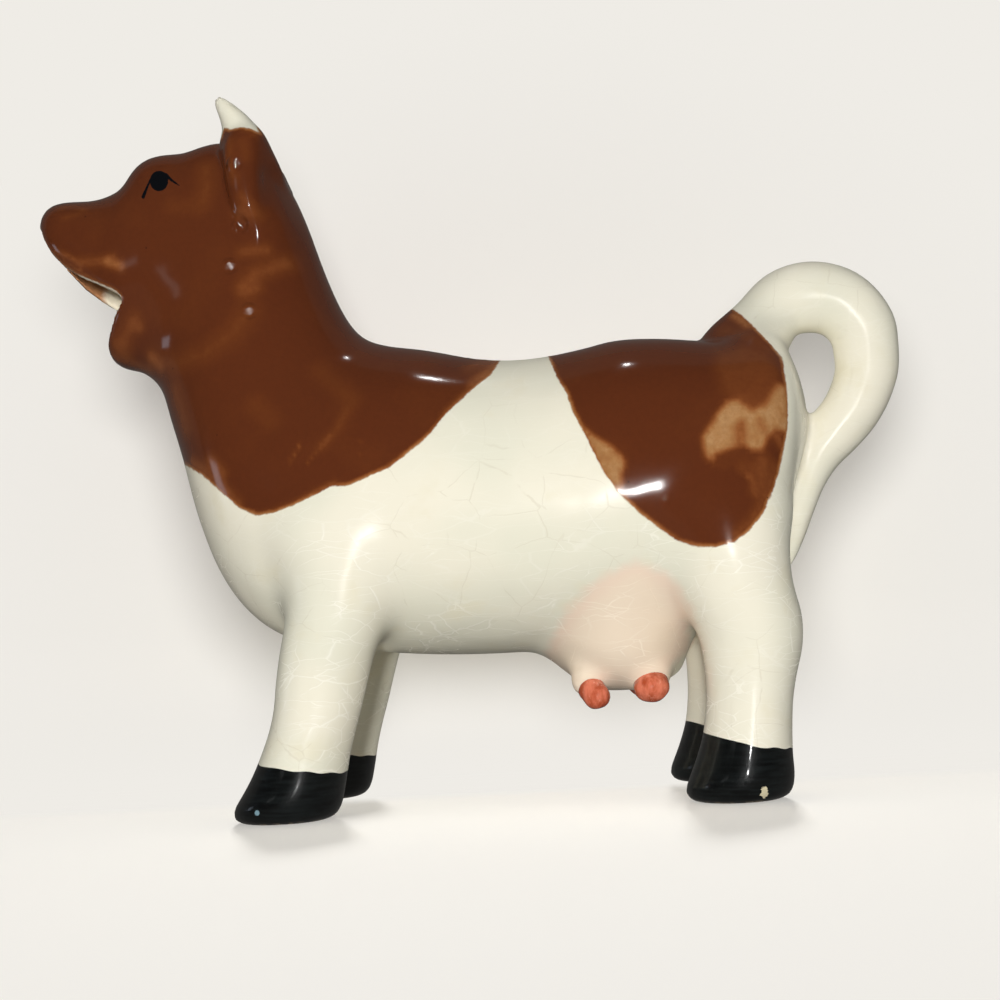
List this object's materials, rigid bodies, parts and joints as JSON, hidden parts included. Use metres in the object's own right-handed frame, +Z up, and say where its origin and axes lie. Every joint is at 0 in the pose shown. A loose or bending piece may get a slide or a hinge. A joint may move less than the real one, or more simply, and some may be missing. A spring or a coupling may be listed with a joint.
{
  "type": "cow creamer",
  "caption": "Glazed earthenware cream jug in the shape of a standing cow, filled through its back, with a pouring mouth and a looped tail for a handle.",
  "frame": {"origin": "on the table, below the middle of the part's bounding box", "axes": "+Z up, the cow's head towards -X and its tail handle towards +X, the cow's left side towards -Y; +X is the longest extent and Y the shortest"},
  "size_m": [0.1769, 0.063, 0.145],
  "materials": {
    "brown_glaze": "mottled brown brushwork over cream, under a clear gloss glaze",
    "cream_glaze": "crazed cream gloss glaze",
    "black_glaze": "brushed black gloss glaze",
    "pink_glaze": "cream gloss glaze with a pink blush",
    "terracotta_glaze": "terracotta brushwork under gloss glaze",
    "horn_glaze": "cream gloss glaze, brown at the root",
    "ear_glaze": "brown gloss glaze"
  },
  "bodies": {
    "root": {"body_shell": "brown_glaze", "tail_handle": "cream_glaze", "front_left_leg": "cream_glaze", "front_right_leg": "cream_glaze", "rear_left_leg": "cream_glaze", "rear_right_leg": "cream_glaze", "front_left_hoof": "black_glaze", "front_right_hoof": "black_glaze", "rear_left_hoof": "black_glaze", "rear_right_hoof": "black_glaze", "udder": "pink_glaze", "front_left_teat": "terracotta_glaze", "front_right_teat": "terracotta_glaze", "rear_left_teat": "terracotta_glaze", "rear_right_teat": "terracotta_glaze", "left_horn": "horn_glaze", "right_horn": "horn_glaze", "left_ear": "ear_glaze", "right_ear": "ear_glaze"}
  },
  "joints": []
}
